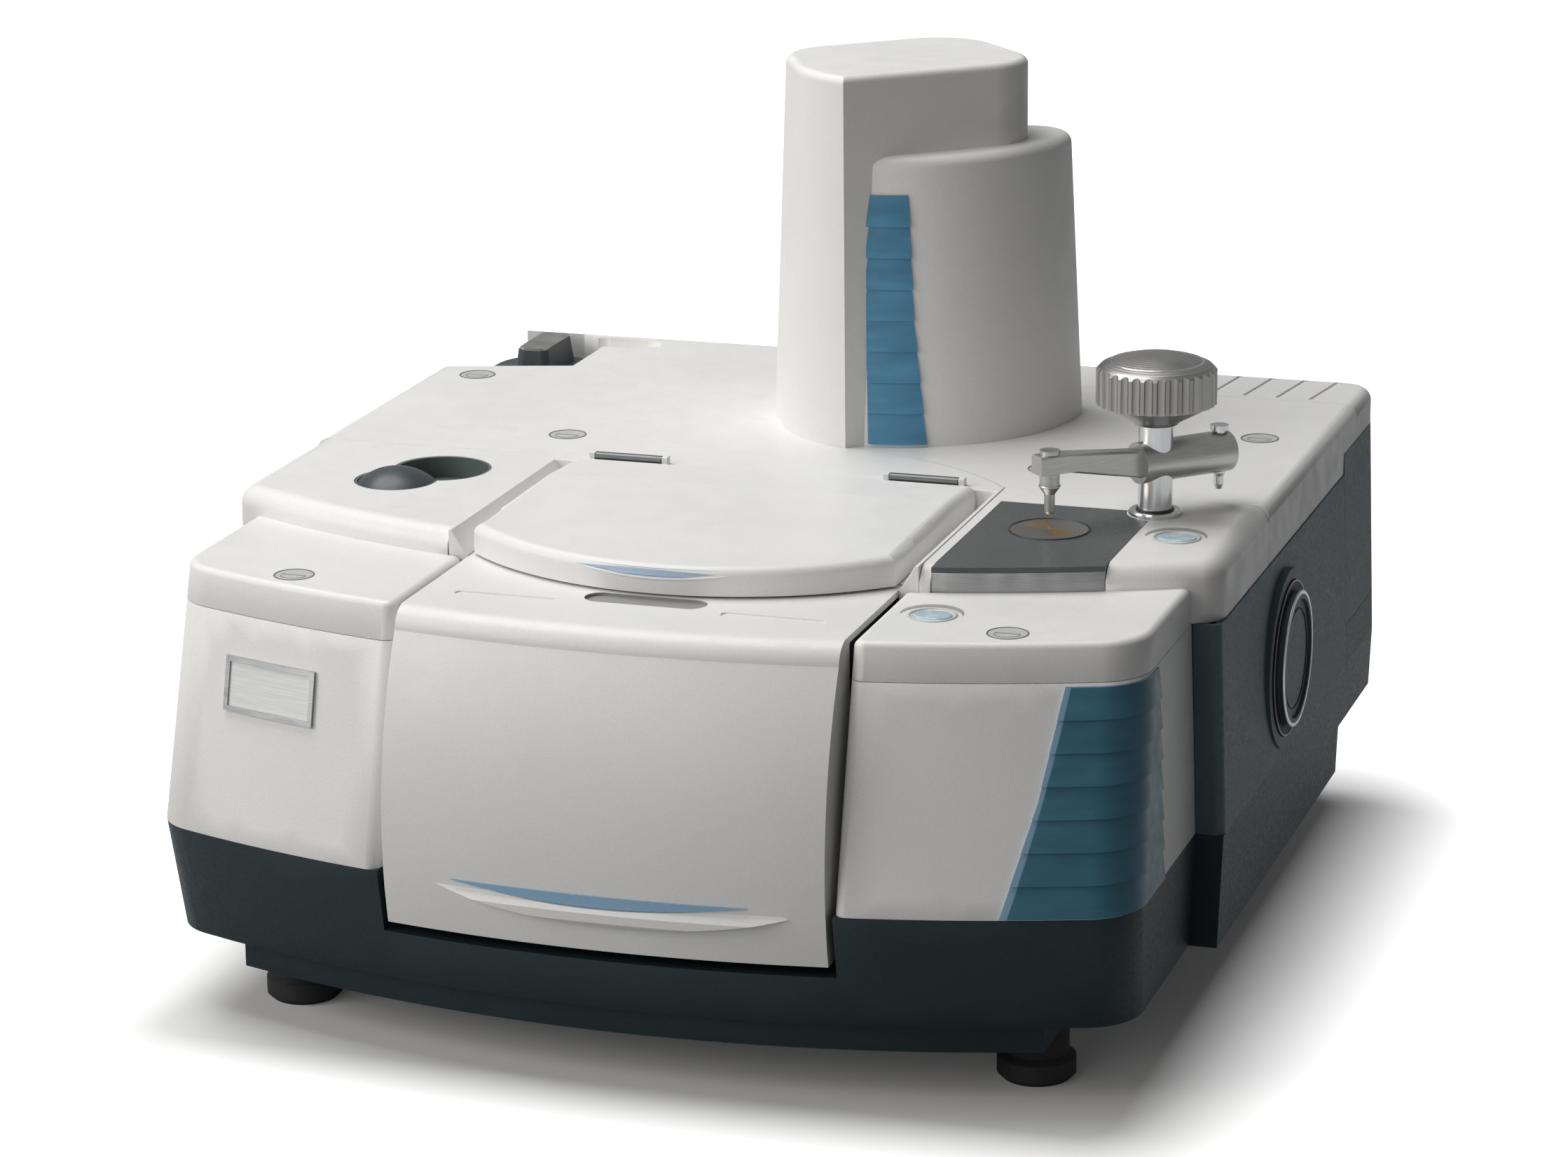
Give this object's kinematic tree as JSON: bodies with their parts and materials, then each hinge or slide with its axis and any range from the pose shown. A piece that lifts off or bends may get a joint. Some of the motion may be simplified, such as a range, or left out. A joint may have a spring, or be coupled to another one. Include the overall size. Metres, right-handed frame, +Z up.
{
  "type": "benchtop infrared spectrometer",
  "caption": "Benchtop infrared spectrometer with a hinged sample compartment lid, pull-out front door, beamsplitter tower, swinging press arm over a crystal, and a detector filler cap.",
  "frame": {"origin": "on the bench top under the centre of the instrument's bounding box", "axes": "+X to the instrument's right seen from its front, +Y to its rear, +Z up"},
  "size_m": [0.6369, 0.679, 0.522],
  "materials": {
    "cover_white": "fine grained",
    "fastener_grey": "moulded",
    "panel_slate": "fine texture",
    "base_slate": "fine texture",
    "rib_blue": "satin",
    "pale_blue": "satin",
    "badge_plain": "satin",
    "foot_rubber": "matt",
    "liner_grey": "fine grained",
    "grip_metal": "brushed",
    "satin_steel": "satin",
    "bright_steel": "polished",
    "deck_dark": "satin",
    "deck_body": "brushed",
    "disc_steel": "turned",
    "tub_paint": "matt",
    "window_glass": "clear",
    "socket_black": "moulded",
    "fitting_brass": "turned",
    "bench_metal": "milled",
    "tube_paint": "satin",
    "mirror_face": "coated"
  },
  "bodies": {
    "housing": {"rubber_feet": "foot_rubber", "base_tray": "base_slate", "left_column": "cover_white", "right_column": "cover_white", "left_column_cap": "cover_white", "right_column_cap": "cover_white", "cover_fasteners": "fastener_grey", "badge_frame": "cover_white", "badge_plate": "badge_plain", "corner_accent": "rib_blue", "side_panel_left": "panel_slate", "side_panel_right": "panel_slate", "port_ring": "base_slate", "rear_panel": "panel_slate", "connector_pan": "panel_slate", "power_inlet": "socket_black", "data_sockets": "socket_black", "purge_bulkheads": "fitting_brass", "rear_cover": "cover_white", "rear_strip": "cover_white", "latch_bay": "liner_grey", "dewar_cover": "cover_white", "keyhole_liner": "liner_grey", "atr_cover": "cover_white", "atr_deck": "deck_body", "atr_top_plate": "deck_dark", "crystal_disc": "disc_steel", "tower_rear_housing": "cover_white", "tower_front_shell": "cover_white", "tower_accent": "rib_blue", "compartment_frame": "cover_white", "hinge_pins": "bright_steel", "sample_tub": "tub_paint", "beam_windows": "window_glass", "sample_holder": "satin_steel", "optical_bench": "bench_metal", "interferometer": "bench_metal", "infrared_source": "fitting_brass", "reference_laser": "tube_paint", "dewar_detector": "bench_metal", "power_supply": "tube_paint", "control_board": "socket_black"},
    "lid": {"sample_lid": "cover_white", "lid_accent": "pale_blue", "lid_hinges": "satin_steel"},
    "door": {"front_door": "cover_white", "door_accent": "pale_blue"},
    "filler_cap": {"access_cap": "cover_white"},
    "bay_latch": {"latch_handle": "cover_white", "latch_plate": "grip_metal"},
    "swing_post": {"arm_post": "bright_steel"},
    "arm": {"press_arm": "satin_steel", "press_tip": "satin_steel", "hanging_pin": "bright_steel"},
    "knob": {"press_knob": "satin_steel"},
    "front_button": {"cap_button": "cover_white"},
    "side_button": {"atr_button": "cover_white"},
    "side_plug": {"port_cap": "base_slate"},
    "rocker": {"power_switch": "socket_black"},
    "mirror": {"moving_mirror": "mirror_face"}
  },
  "joints": [
    {"name": "lid_hinge", "type": "hinge", "parent": "housing", "child": "lid", "pos_m": [0, 0, 0.2878], "axis": [-1, 0, 0], "range_deg": [0, 95]},
    {"name": "door_pull", "type": "slide", "parent": "housing", "child": "door", "axis": [0, -1, 0], "range_m": [0, 0.06]},
    {"name": "filler_cap_lift", "type": "slide", "parent": "housing", "child": "filler_cap", "axis": [0, 0, 1], "range_m": [0, 0.025]},
    {"name": "latch_turn", "type": "hinge", "parent": "housing", "child": "bay_latch", "pos_m": [-0.263, 0.291, 0.27], "axis": [0, 0, 1], "range_deg": [0, 90]},
    {"name": "post_swing", "type": "hinge", "parent": "housing", "child": "swing_post", "pos_m": [0.2476, -0.028, 0.2855], "axis": [0, 0, 1], "range_deg": [0, 90]},
    {"name": "knob_turn", "type": "hinge", "parent": "swing_post", "child": "knob", "pos_m": [0.2476, -0.028, 0.341], "axis": [0, 0, 1], "range_deg": [-360, 180]},
    {"name": "arm_travel", "type": "slide", "parent": "swing_post", "child": "arm", "axis": [0, 0, 1], "range_m": [-0.008, 0.004]},
    {"name": "front_button_press", "type": "slide", "parent": "housing", "child": "front_button", "axis": [0, 0, -1], "range_m": [0, 0.0012], "stiffness_N_per_m": 600, "springref_m": -0.0002},
    {"name": "side_button_press", "type": "slide", "parent": "housing", "child": "side_button", "axis": [0, 0, -1], "range_m": [0, 0.0012], "stiffness_N_per_m": 600, "springref_m": -0.0002},
    {"name": "side_plug_pull", "type": "slide", "parent": "housing", "child": "side_plug", "axis": [1, 0, 0], "range_m": [0, 0.02]},
    {"name": "rocker_tilt", "type": "hinge", "parent": "housing", "child": "rocker", "pos_m": [-0.191, 0.3295, 0.19], "axis": [1, 0, 0], "range_deg": [0, 6.5]},
    {"name": "mirror_scan", "type": "slide", "parent": "housing", "child": "mirror", "axis": [0, 1, 0], "range_m": [-0.004, 0.004]}
  ],
  "couplings": [
    {"joint": "arm_travel", "follows": "knob_turn", "m_per_rad": 0.001273}
  ]
}
